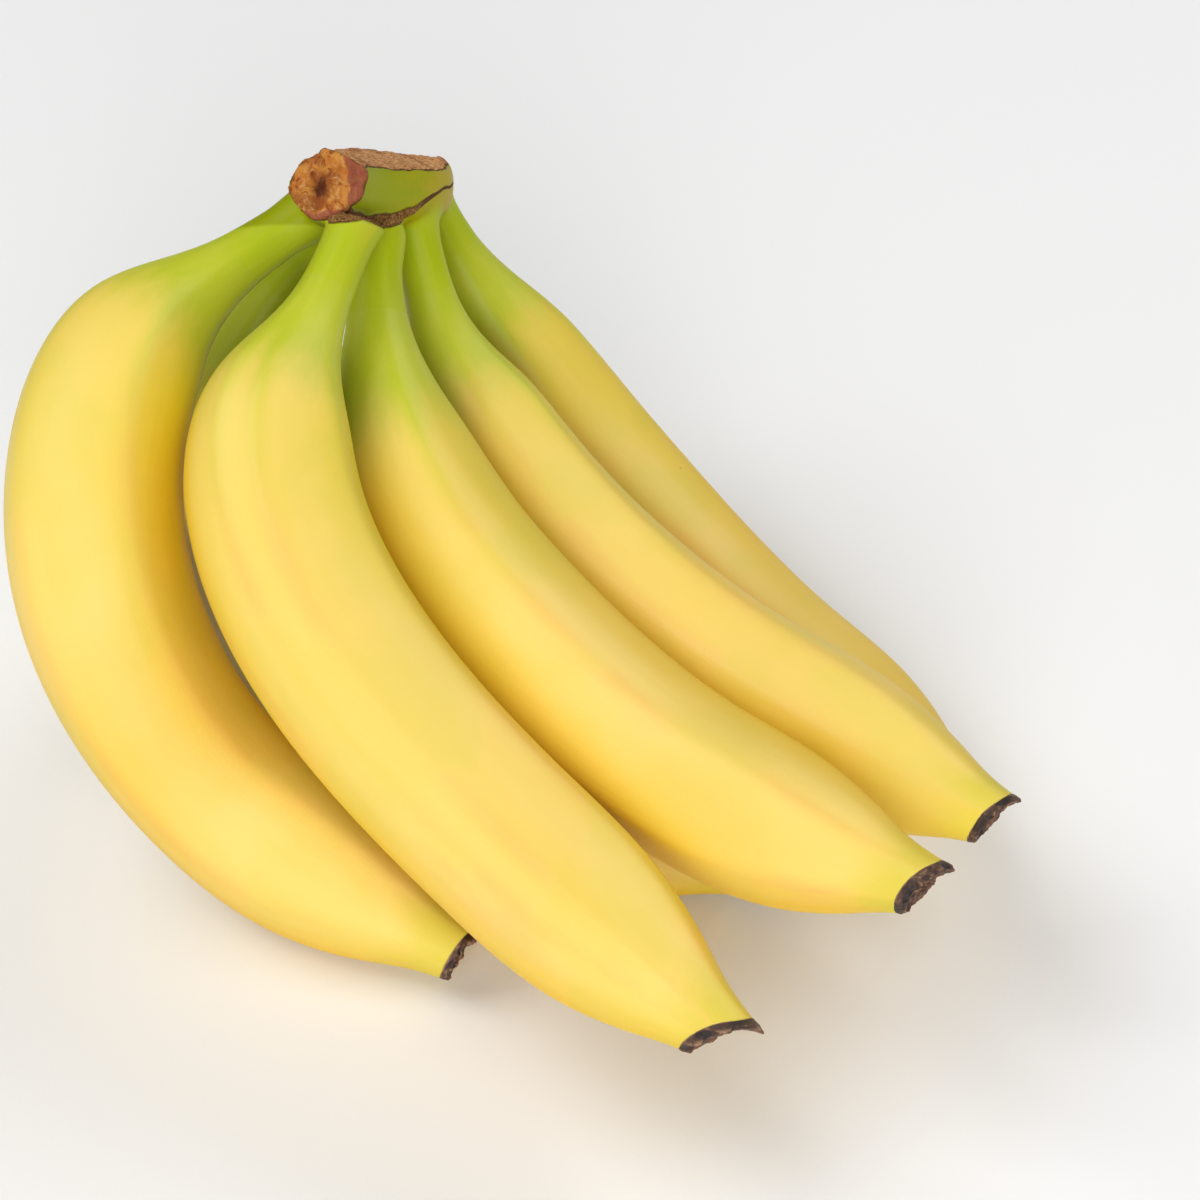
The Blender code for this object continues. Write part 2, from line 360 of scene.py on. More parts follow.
def ranged(tree, value, low, high):
    """A soft step from 0 at low to 1 at high; where high is the smaller, it falls instead."""
    inputs = {"Value": value, "From Min": low, "From Max": high}
    return add_node(tree, "ShaderNodeMapRange", dict(interpolation_type="SMOOTHSTEP"), **inputs).outputs[0]


def mixed(tree, factor, a, b):
    """Colour a, turning into b by the factor; each is a colour or another node's output."""
    a, b = (c if isinstance(c, bpy.types.NodeSocket) else (*c, 1) for c in (a, b))
    return add_node(tree, "ShaderNodeMix", dict(data_type="RGBA"), i0=factor, i6=a, i7=b).outputs[2]


def noised(tree, place, scale, detail=2.0, roughness=0.5, distortion=0.0):
    """Noise from 0 to 1 with about this many bumps in a metre."""
    inputs = dict(Vector=place, Scale=scale, Detail=detail, Roughness=roughness, Distortion=distortion)
    return add_node(tree, "ShaderNodeTexNoise", **inputs).outputs[0]


def drawn_out(tree, place, share):
    """A place in the grain, with its patterns drawn out lengthwise: 0.1 makes them ten times as long."""
    return add_node(tree, "ShaderNodeMapping", Vector=place, Scale=(1, 1, share)).outputs[0]


def attribute(tree, name, vector=False):
    node = add_node(tree, "ShaderNodeAttribute", dict(attribute_name=name))
    return node.outputs["Vector" if vector else "Fac"]


RIPE = (0.86, 0.58, 0.075)
RIPE_DEEP = (0.84, 0.52, 0.010)
RIPE_PALE = (0.88, 0.64, 0.155)
HALF_RIPE = (0.68, 0.59, 0.040)
UNRIPE = (0.50, 0.55, 0.026)
TIP_GREEN = (0.60, 0.54, 0.020)
STEM_GREEN = (0.36, 0.45, 0.004)
BLUSH = (0.80, 0.42, 0.10)
SHADED = (0.78, 0.52, 0.0005)
SHADED_GREEN = (0.17, 0.21, 0.001)
GAP_SHADE_BROWN = (0.10, 0.055, 0.004)
SPECK = (0.16, 0.08, 0.03)
# between which shares of a finger's length each change of colour comes in
SHOULDER_IN = (0.56, 0.20)      # half ripe towards the neck
UNRIPE_IN = (0.235, 0.135)      # green on the neck
STEM_IN = (0.14, 0.04)          # deep green at its root
TIP_IN = (0.925, 0.985)         # greenish at the tip
RIDGE_BLUSH_IN = (0.24, 0.40)   # ridges turn from greenish to orange
RIPE_IN = (0.16, 0.30)          # painted shade among neighbours turns from dark green to deep yellow
DEEP_TO_RIPE = (0.05, 0.60)     # how much painted light the peel needs for its plain yellow
RIPE_TO_PALE = (0.60, 1.10)     # and for its palest


def peel_pattern(tree):
    """The peel's colour, roughness and height, shared by the fingers and the crown's necks."""
    grain = attribute(tree, "grain", vector=True)
    along = attribute(tree, "along")
    ridge = attribute(tree, "ridge")
    broad = noised(tree, drawn_out(tree, grain, 0.22), 70, 3.0)
    streaks = noised(tree, drawn_out(tree, grain, 0.07), 420, 3.0, 0.6)
    blotches = noised(tree, grain, 38, 2.0)
    pores = noised(tree, drawn_out(tree, grain, 0.5), 1700, 2.0, 0.6)
    # yellow flesh with painted light, paler on the side that faces the light and deeper away from it; half
    # ripe on the shoulder, with painted shade making that greener where it faces away from the light
    painted_light_and_tone = maths(tree, "SUBTRACT", attribute(tree, "sunny"), 0.35)
    painted_light_and_tone = maths(tree, "MULTIPLY_ADD", broad, 0.7, painted_light_and_tone)
    body = mixed(tree, ranged(tree, painted_light_and_tone, *DEEP_TO_RIPE), RIPE_DEEP, RIPE)
    body = mixed(tree, ranged(tree, painted_light_and_tone, *RIPE_TO_PALE), body, RIPE_PALE)
    shoulder = ranged(tree, maths(tree, "ADD", along, wavering(tree, broad, 0.5)), *SHOULDER_IN)
    turned_away = maths(tree, "MULTIPLY_ADD", attribute(tree, "sunny"), -0.6, 0.9)
    body = mixed(tree, times(tree, shoulder, turned_away), body, HALF_RIPE)
    # green neck and greenish tip, with an uneven border that runs further down the ridges
    shift = maths(tree, "ADD", wavering(tree, broad, 0.09), wavering(tree, streaks, 0.03))
    shift = maths(tree, "SUBTRACT", shift, times(tree, ridge, 0.02))
    place = maths(tree, "ADD", along, shift)
    colour = mixed(tree, ranged(tree, place, *UNRIPE_IN), body, UNRIPE)
    colour = mixed(tree, ranged(tree, along, *STEM_IN), colour, STEM_GREEN)
    colour = mixed(tree, times(tree, ranged(tree, place, *TIP_IN), 0.55), colour, TIP_GREEN)
    # ridges keep a thin line, greenish towards the neck and flushed with orange below
    patchy = ranged(tree, blotches, 0.40, 0.62)
    line = times(tree, ridge, maths(tree, "MULTIPLY_ADD", patchy, 0.25, 0.10))
    ridge_tint = mixed(tree, ranged(tree, along, *RIDGE_BLUSH_IN), UNRIPE, BLUSH)
    colour = mixed(tree, line, colour, ridge_tint)
    green = times(tree, ranged(tree, blotches, 0.56, 0.40), 0.16)
    colour = mixed(tree, green, colour, UNRIPE)
    # faint orange blush streaks and fine fibres
    blush = times(tree, ranged(tree, broad, 0.58, 0.74), 0.32)
    colour = mixed(tree, blush, colour, BLUSH)
    fibre = times(tree, ranged(tree, streaks, 0.30, 0.75), 0.10)
    colour = mixed(tree, fibre, colour, RIPE_PALE)
    # painted shade: peel close among its neighbours is darkened, to deep yellow on the body and dark green
    # near the neck
    close = attribute(tree, "close")
    ripe = ranged(tree, along, *RIPE_IN)
    colour = mixed(tree, times(tree, times(tree, close, ripe), 0.75), colour, SHADED)
    unripe = maths(tree, "SUBTRACT", 1.0, ripe)
    colour = mixed(tree, times(tree, times(tree, close, unripe), 0.60), colour, SHADED_GREEN)
    # mottled brown painted shade where the inner finger shows in the gap between its neighbours
    mottled = maths(tree, "MULTIPLY_ADD", blotches, 0.5, 0.55)
    colour = mixed(tree, times(tree, attribute(tree, "gap_shade"), mottled), colour, GAP_SHADE_BROWN)
    # a few tiny brown specks, in one cell out of five
    cells = add_node(tree, "ShaderNodeTexVoronoi", Vector=grain, Scale=95.0)
    dot = ranged(tree, cells.outputs["Distance"], 0.035, 0.018)
    chosen = add_node(tree, "ShaderNodeSeparateColor", i0=cells.outputs["Color"]).outputs[0]
    dot = times(tree, dot, ranged(tree, chosen, 0.80, 0.84))
    colour = mixed(tree, times(tree, dot, 0.55), colour, SPECK)
    rough = maths(tree, "MULTIPLY_ADD", streaks, 0.14, 0.38)
    height = maths(tree, "MULTIPLY_ADD", streaks, 0.6, times(tree, pores, 0.35))
    return dict(colour=colour, rough=rough, height=height)


PEEL_RELIEF = 0.09 * MM     # depth of the fibres and pores


def new_material(name):
    material = bpy.data.materials.new(name)
    material.use_nodes = True
    tree = material.node_tree
    return material, tree, tree.nodes["Principled BSDF"]


def finish_with(tree, shader, colour, rough, height, relief):
    """Gives a material its colour, its roughness and a relief of this depth."""
    bump = add_node(tree, "ShaderNodeBump", Strength=1.0, Distance=relief, Height=height)
    tree.links.new(colour, shader.inputs["Base Color"])
    tree.links.new(rough, shader.inputs["Roughness"])
    tree.links.new(bump.outputs[0], shader.inputs["Normal"])


def peel_sheen(shader):
    """Satin wax over soft flesh: the same all over, so set on the shader itself."""
    shader.inputs["IOR"].default_value = 1.45
    shader.inputs["Specular IOR Level"].default_value = 0.28
    shader.inputs["Coat Weight"].default_value = 0.03
    shader.inputs["Coat Roughness"].default_value = 0.30
    shader.inputs["Subsurface Weight"].default_value = 0.05
    shader.inputs["Subsurface Radius"].default_value = (1.0, 0.55, 0.12)
    shader.inputs["Subsurface Scale"].default_value = 0.002


peel_material, tree, shader = new_material("ripe_peel")
finish_with(tree, shader, **peel_pattern(tree), relief=PEEL_RELIEF)
peel_sheen(shader)
for number, peel in enumerate(peels, 1):
    peel.data.materials.append(peel_material)
    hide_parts(f"banana_{number}")
    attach(peel, "root")

# --- Dried blossom ends ------------------------------------------------------
# Each finger ends in what is left of its flower: a black-brown woody cap, shrunk
# into folds as it dried, grown out of the peel's rim and hollow at its far side.
BLOSSOM_AROUND = 160
BLOSSOM_RINGS = 60
# along the finger from the peel's rim (mm), share of the way from that rim to the cap's own edge,
# depth of the hollow (mm), share of the finger's radius
BLOSSOM_PROFILE = (
    (-2.2, 0.0, 0.0, 0.84), (-0.9, 0.0, 0.0, 0.94), (-0.1, 0.0, 0.0, 1.00), (0.0, 0.4, 0.0, 1.02),
    (0.0, 0.8, 0.0, 1.00), (0.0, 1.0, 0.0, 0.94), (0.0, 1.0, 0.3, 0.84), (0.0, 1.0, 0.8, 0.68),
    (0.0, 1.0, 1.1, 0.50), (0.0, 1.0, 1.0, 0.32), (0.0, 1.0, 0.8, 0.16), (0.0, 1.0, 0.7, 0.02),
)
BLOSSOM_LOBES = (0.6, 2.4, 2.2, 1.0, 0.6, 0.5)      # a lump left standing on one side (mm)
BLOSSOM_LOBE_AT = 115                               # degrees from the upper side
BLOSSOM_LOBE_WIDE = 28                              # its half width (degrees)
BLOSSOM_APART = 3.1         # each cap reads the folds this much further on
BLOSSOM_HELD = 0.9          # the cap's skin starts to fold this far behind the peel's rim (mm)
BLOSSOM_AT_RIM = 0.35       # share of the folds' depth there; the rest comes towards its own edge
BLOSSOM_FACE = 0.94         # its hollow face begins at this share of the radius
FOLD_SIZES = ((0.42, 0.7), (0.16, 0.3))     # size of the folds (in radii) and share of the depth
CRUMPLE_SCALE = 1.7                         # crumples in a radius
CRUMPLE_KIND = (0.9, 2.1, 4, 1.0, 2.0)      # smoothness, step between octaves, octaves, offset, gain
GRIT_SIZE = 0.12                            # (in radii)
FOLD_DEPTHS = (0.34, 0.20, 0.12)            # folds, crumples and grit in the skin (mm)
EDGE_DEPTHS = (0.55, 0.28)                  # folds and crumples along the finger (mm)

blossoms = []
profile = spline(np.linspace(0, 1, len(BLOSSOM_PROFILE)), BLOSSOM_PROFILE,
                 np.linspace(0, 1, BLOSSOM_RINGS))
behind, edge, hollow, inward = [np.repeat(column, BLOSSOM_AROUND) for column in profile.T]
angle = np.tile(np.linspace(0, 2 * math.pi, BLOSSOM_AROUND, endpoint=False), BLOSSOM_RINGS)
for number, (finger, line, end) in enumerate(zip(FINGERS, lines, ENDS), 1):
    rim, last = end_levels(end, angle)
    turn = np.degrees(angle) - end["up"] + BLOSSOM_LOBE_AT
    turn = (turn + 180) % 360 - 180
    last = last + BLOSSOM_LOBES[number - 1] * np.exp(-(turn / BLOSSOM_LOBE_WIDE) ** 2)
    free = np.clip((behind + BLOSSOM_HELD) / BLOSSOM_HELD, 0, 1)
    free = free * (BLOSSOM_AT_RIM + (1 - BLOSSOM_AT_RIM) * np.clip(edge, 0, 1))
    seed = BLOSSOM_APART * number
    around = np.stack((np.cos(angle), np.sin(angle), np.full_like(angle, seed)), 1)
    folds = sum(grown(around + 7 * k, size) * part for k, (size, part) in enumerate(FOLD_SIZES))
    place = np.stack((inward * np.cos(angle), inward * np.sin(angle), edge * 0.5 + seed), 1)
    crumple = np.array([noise.ridged_multi_fractal(Vector(p) * CRUMPLE_SCALE, *CRUMPLE_KIND)
                        for p in place])
    crumple = (crumple - crumple.mean()) / crumple.std()
    grit = grown(place, GRIT_SIZE)
    fold = free * (FOLD_DEPTHS[0] * folds + FOLD_DEPTHS[1] * crumple + FOLD_DEPTHS[2] * grit)
    # from the peel's rim to the cap's own edge, then level towards the middle of its face
    middle = last[:BLOSSOM_AROUND].mean()
    on_face = np.where(edge > 0.99, np.clip(inward / BLOSSOM_FACE, 0, 1), 1)
    level = behind + middle + (rim + (last - rim) * edge - middle) * on_face - hollow
    level = level + free * (EDGE_DEPTHS[0] * folds + EDGE_DEPTHS[1] * crumple)
    share = 1 + level * MM / line["run"][-1]
    centre, tangent, side, face, run = read_line(line, share)
    radius = reach(finger, share, angle)[0] * inward + fold * MM * np.minimum(1, inward * 1.6) * 0.6
    points = centre + radius[:, None] * (np.cos(angle)[:, None] * side + np.sin(angle)[:, None] * face)
    rings = points.reshape(BLOSSOM_RINGS, BLOSSOM_AROUND, 3)
    blossom = grid_mesh(f"blossom_{number}", rings, rings[0].mean(0), rings[-1].mean(0))
    below = (1 - np.cos(angle - math.radians(end["up"]))) / 2
    write_attribute(blossom, "fold", np.append(fold, (0, 0)))
    write_attribute(blossom, "outward", np.append(behind + (last - rim) * edge, (-2, 3)))
    write_attribute(blossom, "corner", np.append(smooth_step(0.2, 1.0, below) * edge, (0, 0)))
    blossoms.append(blossom)

DRY_BLACK = (0.014, 0.006, 0.004)
DRY_BROWN = (0.075, 0.030, 0.014)
DRY_TAN = (0.42, 0.24, 0.13)
DRY_RED = (0.20, 0.060, 0.026)
BLOSSOM_RELIEF = 0.45 * MM

blossom_material, tree, shader = new_material("dried_blossom")
position = add_node(tree, "ShaderNodeTexCoord").outputs["Object"]
fine = noised(tree, position, 900, 4.0, 0.65)
coarse = noised(tree, position, 260, 3.0, 0.6)
# black in the folds as painted shade and brown on them; tan on the crests, partly rubbed wear and partly
# painted highlight, and tan along the peel's rim
raised = maths(tree, "ADD", attribute(tree, "fold"), wavering(tree, coarse, 0.8))
colour = mixed(tree, ranged(tree, raised, -0.35, 0.25), DRY_BLACK, DRY_BROWN)
wear_and_highlight = times(tree, ranged(tree, raised, -0.05, 0.45), ranged(tree, fine, 0.42, 0.58))
colour = mixed(tree, times(tree, wear_and_highlight, 0.85), colour, DRY_TAN)
rim_tan = ranged(tree, attribute(tree, "outward"), 0.35, -0.2)
colour = mixed(tree, times(tree, rim_tan, 0.6), colour, DRY_TAN)
reddish = times(tree, attribute(tree, "corner"), ranged(tree, coarse, 0.38, 0.62))
colour = mixed(tree, times(tree, reddish, 0.65), colour, DRY_RED)
rough = maths(tree, "MULTIPLY_ADD", fine, 0.3, 0.42)
height = maths(tree, "ADD", fine, times(tree, coarse, 1.4))
finish_with(tree, shader, colour, rough, height, BLOSSOM_RELIEF)
for number, blossom in enumerate(blossoms, 1):
    blossom.data.materials.append(blossom_material)
    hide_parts(f"blossom_tip_{number}")
    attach(blossom, "root")

# --- Crown -------------------------------------------------------------------
# The pad of stalk where the six necks are grown together.  It was cut from the
# stalk at its near end and along its top, and both cuts dried brown and fibrous;
# a rough scar runs along its side, just above the necks.
# the pad's middle from its near end to its far end (mm), and which way its top faces
PAD_SPINE = ((-54, 41, 126), (-51, 50, 119), (-46, 60, 111), (-41, 68, 105), (-38, 75, 101))
PAD_TOP = (-0.10, 0.45, 0.89)
# at each of those places the pad's radius (mm), every 20 degrees from its right side, over its
# top, round to below
PAD_SECTIONS = (
    (6.2, 7.4, 7.0, 6.9, 7.2, 6.8, 7.2, 7.9, 8.4, 9.0, 7.9, 7.5, 7.3, 5.6, 4.9, 5.0, 5.4, 5.8),
    (7.7, 8.4, 7.9, 7.9, 8.3, 8.5, 8.9, 9.6, 9.8, 9.6, 9.9, 9.6, 8.8, 7.6, 7.3, 7.1, 7.3, 7.6),
    (10.0, 10.6, 9.2, 8.6, 8.9, 8.9, 9.4, 10.2, 10.6, 10.4, 10.8, 10.4, 9.2, 8.0, 7.6, 7.9, 8.9, 9.7),
    (9.6, 10.6, 9.5, 8.6, 8.6, 8.5, 8.7, 9.0, 9.4, 9.2, 9.6, 9.4, 8.4, 7.2, 7.0, 7.4, 8.5, 9.3),
    (7.6, 8.4, 9.7, 8.7, 7.7, 7.4, 7.4, 7.6, 7.2, 6.8, 7.2, 7.4, 6.6, 5.6, 5.4, 5.8, 6.6, 7.2),
)
PAD_STEPS = 32              # steps in which the pad's spine is worked out,
PAD_AROUND = 180            # and its section
PAD_OVERRUN = 14            # the spine is carried on this far past both ends (mm)
PAD_SLANT = 0.92            # its skin is this much nearer than along the radius, because it slants
NECK_SHARE = 0.106          # a neck of the crown ends here, inside the peel
NECK_FLARE = 1.15           # and is this much stouter at its root
NECK_FLARE_SHARE = 0.04
NECK_STEPS = 15
FUSE_NECKS = 1.2 * MM       # how softly neck grows into neck, and neck into pad
FUSE_PAD = 1.8 * MM
ROUND_BEVEL = 0.5 * MM      # how round the edges are: of the slanting side of the end cut,
ROUND_LEDGE = 0.8 * MM      # of the ledge under the scar,
ROUND_FAR = 3 * MM          # of the pad's far end
ROUND_CUT = 0.4 * MM        # and of the end cut
NET_PITCH = 0.85 * MM
NET_MARGIN = 14 * MM
DRAWN_ROUNDS = 3            # rounds in which the net is drawn onto the crown's surface,
DRAWN_MOST = 0.6 * MM       # the furthest that a point moves in each
DRAWN_FLATTEST = 0.25       # and the least slope that it reckons with
SCAR_PATH = (       # step along the pad (0 to 1), height (mm), half width (mm)
    (-0.10, -5.4, 1.4), (0.05, -6.1, 1.6), (0.20, -7.2, 1.8), (0.34, -6.4, 1.6), (0.45, -4.6, 1.2),
    (0.55, -2.1, 0.45), (0.72, 0.6, 0.26), (0.90, 1.7, 0.24), (1.20, 2.6, 0.24),
)
SCAR_NECKS = (1, 2, 3, 4)       # the necks of fingers 2 to 5 start at the scar, below it
SCAR_LEDGE = 0.5 * MM
LEDGE_SLOPE = 0.45
BEVEL_TURN = math.radians(38)   # the right side of the end cut slants back by this much
BEVEL_AT = 3.6 * MM             # from this far right of the middle
FLAP_TURN = 98                  # a torn flap stands on the end cut's upper edge (degrees),
FLAP_WIDE = 9                   # this wide (degrees),
FLAP_TALL = 1.2 * MM            # this tall
FLAP_STEPS = 2.2                # and this deep (steps of the pad)
PIT_RIGHT = -2.4 * MM           # where the pit in the end cut is, from the pad's middle
PIT_UP = 0.2 * MM
PIT_WIDE = 2.2                  # its half width (mm)
PIT_TALL = 0.7                  # heights count for this much of widths in it
FIBRE_SPREAD = 1.1              # how far the fibres stand apart round the pit


def nearest_on(line, points):
    """Distance from each point to a line of joined points, and where on it (in steps)."""
    best = np.full(len(points), 1e9)
    place = np.zeros(len(points))
    for i, (a, b) in enumerate(zip(line, line[1:])):
        d = b - a
        t = np.clip((points - a) @ d / (d @ d), 0, 1)
        gap = np.linalg.norm(points - a - t[:, None] * d, axis=1)
        closer = gap < best
        best[closer] = gap[closer]
        place[closer] = i + t[closer]
    return best, place


def fused(a, b, width):
    """The smaller of two distances, rounded where they are within width of each other."""
    h = np.clip(0.5 + 0.5 * (b - a) / width, 0, 1)
    return b * (1 - h) + a * h - width * h * (1 - h)


neck_places = np.linspace(0, NECK_SHARE, NECK_STEPS + 1)
neck_lines = [read_line(line, neck_places)[0] for line in lines]
pad_steps = np.linspace(0, 1, PAD_STEPS + 1)
section_steps = np.linspace(0, 1, len(PAD_SECTIONS))
pad_line = (spline(section_steps, PAD_SPINE, pad_steps) - MIDDLE) * MM
pad_ends = unit(pad_line[1] - pad_line[0]), unit(pad_line[-1] - pad_line[-2])
pad_long = np.vstack((pad_line[0] - pad_ends[0] * PAD_OVERRUN * MM, pad_line,
                      pad_line[-1] + pad_ends[1] * PAD_OVERRUN * MM))
pad_frames = carried_frames(pad_line, unit(np.array(PAD_TOP)))
pad_frames = np.concatenate((pad_frames[:1], pad_frames, pad_frames[-1:]))
# the sections' radii on a fine grid, each read on past its first and last place so that it closes
wrapped_turns = np.radians(np.arange(-40, 401, 20))
wrapped = np.array([row[-2:] + row + row[:3] for row in PAD_SECTIONS])
pad_turns = np.linspace(0, 2 * math.pi, PAD_AROUND + 1)
pad_radii = np.array([spline(wrapped_turns, row, pad_turns)[:, 0] for row in wrapped])
pad_radii = spline(section_steps, pad_radii, pad_steps) * MM


def pad_place(points):
    """A point's place in the pad: step from the end cut, then how far right and up."""
    _, place = nearest_on(pad_long, points)
    k = np.minimum(place.astype(int), len(pad_long) - 2)
    part = (place - k)[:, None]
    centre = pad_long[k] * (1 - part) + pad_long[k + 1] * part
    frames = pad_frames[k] * (1 - part[:, :, None]) + pad_frames[k + 1] * part[:, :, None]
    offset = points - centre
    up = (offset * frames[:, 1]).sum(1)
    right = (offset * frames[:, 2]).sum(1)
    return place - 1, right, up


def pad_field(points):
    """Distances to the pad's skin, to its end cut and to its far end."""
    step, right, up = pad_place(points)
    turn = np.arctan2(up, right) % (2 * math.pi) / (2 * math.pi) * PAD_AROUND
    row = np.clip(step, 0, PAD_STEPS)
    i = np.minimum(row.astype(int), PAD_STEPS - 1)
    j = np.minimum(turn.astype(int), PAD_AROUND - 1)
    u = row - i
    v = turn - j
    radius = ((pad_radii[i, j] * (1 - v) + pad_radii[i, j + 1] * v) * (1 - u)
              + (pad_radii[i + 1, j] * (1 - v) + pad_radii[i + 1, j + 1] * v) * u)
    off_flap = (turn * (360 / PAD_AROUND) - FLAP_TURN) / FLAP_WIDE
    flap = np.exp(-off_flap ** 2 - (step / FLAP_STEPS) ** 2)
    side = (np.hypot(up, right) - radius - FLAP_TALL * flap) * PAD_SLANT
    near = (pad_line[0] - points) @ pad_ends[0]
    bevel = near * math.cos(BEVEL_TURN) + (right - BEVEL_AT) * math.sin(BEVEL_TURN)
    near = -fused(-near, -bevel, ROUND_BEVEL)
    far = (points - pad_line[-1]) @ pad_ends[1]
    return side, near, far


def neck_fields(points):
    """For each neck: distance to it, share of the finger, angle, run, distance to its middle, ridge."""
    rows = []
    for finger, line, neck in zip(FINGERS, lines, neck_lines):
        gap, place = nearest_on(neck, points)
        share = place / NECK_STEPS * NECK_SHARE
        centre, tangent, side, face, run = read_line(line, share)
        offset = points - centre
        angle = np.arctan2((offset * face).sum(1), (offset * side).sum(1))
        radius, ridge = reach(finger, share, angle)
        radius *= 1 + (NECK_FLARE - 1) * (1 - smooth_step(0, NECK_FLARE_SHARE, share))
        radius -= HANDOVER_DIP * smooth_step(*NECK_HANDOVER, share)
        rows.append((gap - radius, share, angle, run, gap, ridge))
    return rows


def scar_line(step):
    """Height and half width of the side scar along the pad."""
    return [np.interp(step / PAD_STEPS, *np.array(SCAR_PATH).T[[0, k]]) * MM for k in (1, 2)]


def crown_field(points):
    """Distance to the whole crown, from the pad and its six necks."""
    necks = [row[0] for row in neck_fields(points)]
    step, right, up = pad_place(points)
    side, near, far = pad_field(points)
    above = up - scar_line(step)[0] - SCAR_LEDGE + LEDGE_SLOPE * np.maximum(side, 0)
    for k in SCAR_NECKS:
        necks[k] = -fused(-necks[k], -above, ROUND_LEDGE)
    whole = necks[0]
    for neck in necks[1:]:
        whole = fused(whole, neck, FUSE_NECKS)
    pad = -fused(-side, -far, ROUND_FAR)
    pad = -fused(-pad, -near, ROUND_CUT)
    return fused(whole, pad, FUSE_PAD)


def net_mesh(values, low, pitch):
    """Vertices and quads of the surface where values on a grid change sign."""
    inside = values < 0
    size = np.array(values.shape)
    corners = [(i, j, k) for i in (0, 1) for j in (0, 1) for k in (0, 1)]

    def shifted(array, offset):
        return array[tuple(slice(o, n - 1 + o) for o, n in zip(offset, size))]

    total = sum(shifted(inside, c).astype(int) for c in corners)
    active = np.argwhere((total > 0) & (total < 8))
    number = np.full(size - 1, -1)
    number[tuple(active.T)] = np.arange(len(active))
    summed = np.zeros((len(active), 3))
    count = np.zeros(len(active))
    for a in corners:
        for axis in range(3):
            if a[axis]:
                continue
            b = tuple(1 if k == axis else a[k] for k in range(3))
            fa = values[tuple((active + a).T)]
            fb = values[tuple((active + b).T)]
            crossed = (fa < 0) != (fb < 0)
            t = np.where(crossed, fa / np.where(crossed, fa - fb, 1), 0)
            place = np.array(a, float) + t[:, None] * (np.array(b) - np.array(a))
            summed += np.where(crossed[:, None], active + place, 0)
            count += crossed
    verts = low + summed / count[:, None] * pitch
    quads = []
    for axis in range(3):
        u, v = (axis + 1) % 3, (axis + 2) % 3
        first = inside[tuple(slice(0, -1) if k == axis else slice(1, -1) for k in range(3))]
        second = inside[tuple(slice(1, None) if k == axis else slice(1, -1) for k in range(3))]
        edges = np.argwhere(first != second)
        way = first[tuple(edges.T)]
        edges += [0 if k == axis else 1 for k in range(3)]
        around = []
        for du, dv in ((1, 1), (0, 1), (0, 0), (1, 0)):
            cell = edges.copy()
            cell[:, u] -= du
            cell[:, v] -= dv
            around.append(number[tuple(cell.T)])
        around = np.stack(around, 1)
        quads.append(np.where(way[:, None], around, around[:, ::-1]))
    return verts, np.vstack(quads)


def gradient(field, points, step=0.05 * MM):
    """A field's value and slope at each point."""
    base = field(points)
    slope = np.stack([(field(points + step * np.eye(3)[k]) - base) / step for k in range(3)], 1)
    return base, slope


# a net over the place where the field changes sign, made finer, then drawn onto it
crown_low = np.min([neck.min(0) for neck in neck_lines] + [pad_line.min(0)], 0) - NET_MARGIN
crown_high = np.max([neck.max(0) for neck in neck_lines] + [pad_line.max(0)], 0) + NET_MARGIN
counts = np.ceil((crown_high - crown_low) / NET_PITCH).astype(int) + 1
net = np.stack(np.meshgrid(*[crown_low[k] + NET_PITCH * np.arange(counts[k]) for k in range(3)],
                           indexing="ij"), -1)
values = crown_field(net.reshape(-1, 3)).reshape(counts)
verts, quads = net_mesh(values, crown_low, NET_PITCH)
mesh = bpy.data.meshes.new("crown_skin")
mesh.from_pydata(verts, [], quads.tolist())
mesh.update()
crown = bpy.data.objects.new("crown_skin", mesh)
bpy.context.scene.collection.objects.link(crown)
finer = crown.modifiers.new("finer", "SUBSURF")
finer.levels = 1
finer.render_levels = 1
bpy.context.view_layer.update()
skin = bpy.data.meshes.new_from_object(crown.evaluated_get(bpy.context.evaluated_depsgraph_get()))
crown.modifiers.clear()
crown.data = skin
skin.name = "crown_skin"
points = np.zeros(len(skin.vertices) * 3)
skin.vertices.foreach_get("co", points)
points = points.reshape(-1, 3)
for _ in range(DRAWN_ROUNDS):
    gap, slope = gradient(crown_field, points)
    steepness = np.maximum((slope ** 2).sum(1), DRAWN_FLATTEST)
    points -= np.clip(gap / steepness, -DRAWN_MOST, DRAWN_MOST)[:, None] * slope
gap, slope = gradient(crown_field, points)
outward = slope / np.linalg.norm(slope, axis=1)[:, None]

# for each place: where it is on the pad, which neck is nearest, and where on that neck it is
step, right, up = pad_place(points)
side_gap, near_gap, _ = pad_field(points)
necks = neck_fields(points)
neck_gaps = np.array([row[0] for row in necks])
closest = neck_gaps.argmin(0)
pick = (closest, np.arange(len(points)))
share, angle, run, off_middle, ridge = (np.array([row[k] for row in necks])[pick] for k in range(1, 6))
run = run + GRAIN_APART * (closest + 1)
grain = np.stack((off_middle * np.cos(angle), off_middle * np.sin(angle), run), 1)
on_neck = smooth_step(1.6 * MM, 0.2 * MM, neck_gaps.min(0))
on_pad = smooth_step(1.4 * MM, 0.5 * MM, side_gap)
facing_end = (outward * -pad_ends[0]).sum(1)
facing_top = (outward * unit(np.array(PAD_TOP))).sum(1)
uneven = grown(points, 2.2 * MM)

# how far inside the end cut and inside the top cut it is (about mm, less than 0 outside)
end_depth = np.minimum(near_gap / MM, 1) + 0.9 - 3 * (1 - on_pad)
end_depth = end_depth - 4 * smooth_step(0.5, 1.2, near_gap / MM)
end_depth = end_depth - 3 * smooth_step(0.20, -0.10, facing_end)
top_depth = 4 * (facing_top + 0.09 * uneven + 0.05 * grown(points, 0.8 * MM) - 0.66) - 3 * (1 - on_pad)
end_cut = smooth_step(-0.2, 0.5, end_depth)
top_cut = smooth_step(-0.2, 0.4, top_depth) * (1 - end_cut)

